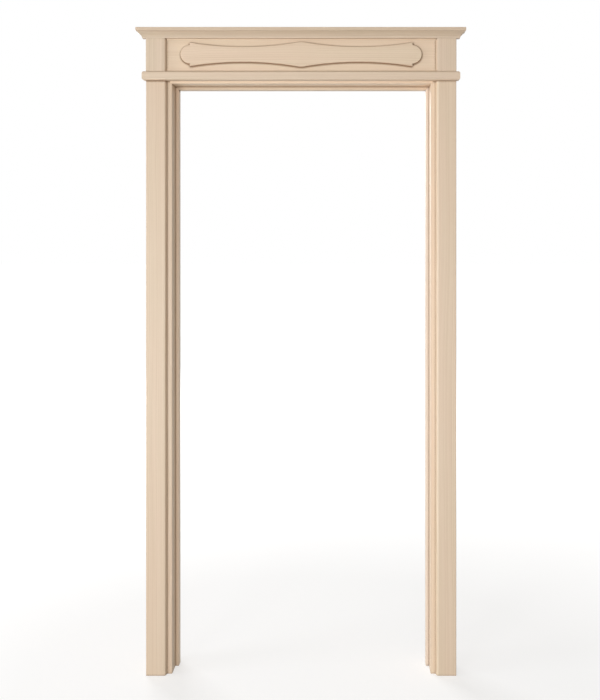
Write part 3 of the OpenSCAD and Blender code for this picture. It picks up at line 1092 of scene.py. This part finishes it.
# The photograph's camera: level, a little right of the middle, 3.6 m in front of the legs.
# PICTURE is the photograph's width and height in pixels, and the lens and shift come from
# where its horizon and its vanishing point lie in it.
PICTURE = (600, 700)
FOCAL_PIXELS = 992.3
VANISHING_POINT = (352.4, 240.0)
CAMERA_PLACE = (0.1856, -3.6595, 1.578)
SENSOR_HEIGHT_MM = 36.0

# The even light is a little warm and the lamps a little cool, which brings the reveals' colour
# nearer to the photo's
EVEN_LIGHT_TINT = (1.0, 0.965, 0.90)
LAMP_TINT = (0.995, 1.0, 1.03)

MIDDLE = (0.0, 0.0, 1.2)
# Each lamp's place, and its width and height
KEY_PLACE, KEY_SIZE = (-2.44, -5.48, 0.75), (1.6, 1.4)
FILL_PLACE, FILL_SIZE = (0.0, -5.8, 0.75), (1.6, 1.4)
SIDE_PLACE, SIDE_SIZE = (-6.2, -2.0, 1.4), (2.5, 2.5)
BACK_PLACE, BACK_SIZE = (-3.6, 6.6, 3.6), (4.0, 4.0)


def photographers_camera():
    """The camera at the photograph's viewing angle."""
    data = bpy.data.cameras.new("camera")
    data.sensor_fit = "VERTICAL"
    data.sensor_height = SENSOR_HEIGHT_MM
    data.sensor_width = SENSOR_HEIGHT_MM * PICTURE[0] / PICTURE[1]
    data.lens = FOCAL_PIXELS * SENSOR_HEIGHT_MM / PICTURE[1]
    data.shift_x = (PICTURE[0] / 2 - VANISHING_POINT[0]) / PICTURE[1]
    data.shift_y = (VANISHING_POINT[1] - PICTURE[1] / 2) / PICTURE[1]
    data.clip_start = 0.05
    data.clip_end = 200.0
    camera = bpy.data.objects.new("camera", data)
    bpy.context.scene.collection.objects.link(camera)
    camera.location = CAMERA_PLACE
    camera.rotation_euler = (math.radians(90), 0.0, 0.0)
    bpy.context.scene.camera = camera


class DOORFRAME_OT_stage(bpy.types.Operator):
    """Makes the floor, the even light, the lamps and the camera"""

    bl_idname = "doorframe.stage"
    bl_label = "Stage"

    def execute(self, context):
        light = context.scene.studio_light
        reach = 60.0
        mesh = bpy.data.meshes.new("floor")
        corners = [(-reach, -reach, 0), (reach, -reach, 0), (reach, reach, 0), (-reach, reach, 0)]
        mesh.from_pydata(corners, [], [(0, 1, 2, 3)])
        mesh.materials.append(floor_material())
        floor = bpy.data.objects.new("floor", mesh)
        context.scene.collection.objects.link(floor)

        world = bpy.data.worlds.new("studio")
        context.scene.world = world
        world.use_nodes = True
        tree = world.node_tree
        tree.nodes.clear()
        glow = new_node(tree, "ShaderNodeBackground")
        tint = blend_colours(tree, seen_directly(tree), EVEN_LIGHT_TINT, (1.0, 1.0, 1.0))
        tree.links.new(tint, glow.inputs["Color"])
        tree.links.new(
            span(tree, seen_directly(tree), 0.0, 1.0, light.sky, 1.0), glow.inputs["Strength"]
        )
        output = new_node(tree, "ShaderNodeOutputWorld")
        tree.links.new(glow.outputs[0], output.inputs[0])

        soft_lamp("key_lamp", KEY_PLACE, MIDDLE, light.key, KEY_SIZE)
        soft_lamp("fill_lamp", FILL_PLACE, MIDDLE, light.fill, FILL_SIZE)
        soft_lamp("side_lamp", SIDE_PLACE, MIDDLE, light.side, SIDE_SIZE)
        soft_lamp("back_lamp", BACK_PLACE, MIDDLE, light.back, BACK_SIZE)
        photographers_camera()
        context.scene.view_settings.view_transform = "Standard"
        return {"FINISHED"}


class DOORFRAME_PT_panel(bpy.types.Panel):
    """Lists the steps that finish the door frame"""

    bl_idname = "DOORFRAME_PT_panel"
    bl_label = "Door Frame"
    bl_space_type = "VIEW_3D"
    bl_region_type = "UI"
    bl_category = "Door Frame"

    def draw(self, context):
        scene = context.scene
        for settings in (scene.timber_finish, scene.fixing_sizes, scene.studio_light):
            box = self.layout.box()
            for key in settings.__annotations__:
                box.prop(settings, key)
        for operator in OPERATORS:
            self.layout.operator(operator.bl_idname)


OPERATORS = (
    DOORFRAME_OT_lining,
    DOORFRAME_OT_stops,
    DOORFRAME_OT_casings,
    DOORFRAME_OT_crosshead,
    DOORFRAME_OT_screws,
    DOORFRAME_OT_dowels,
    DOORFRAME_OT_stage,
)
CLASSES = (TimberFinish, FixingSizes, StudioLight, *OPERATORS, DOORFRAME_PT_panel)


def register():
    for cls in CLASSES:
        bpy.utils.register_class(cls)
    bpy.types.Scene.timber_finish = bpy.props.PointerProperty(type=TimberFinish)
    bpy.types.Scene.fixing_sizes = bpy.props.PointerProperty(type=FixingSizes)
    bpy.types.Scene.studio_light = bpy.props.PointerProperty(type=StudioLight)


def unregister():
    del bpy.types.Scene.studio_light
    del bpy.types.Scene.fixing_sizes
    del bpy.types.Scene.timber_finish
    for cls in reversed(CLASSES):
        bpy.utils.unregister_class(cls)


def main():
    """Makes every piece and the stage."""
    register()
    bpy.ops.doorframe.lining()
    bpy.ops.doorframe.stops()
    bpy.ops.doorframe.casings()
    bpy.ops.doorframe.crosshead()
    bpy.ops.doorframe.screws()
    bpy.ops.doorframe.dowels()
    bpy.ops.doorframe.stage()


if __name__ == "__main__":
    main()
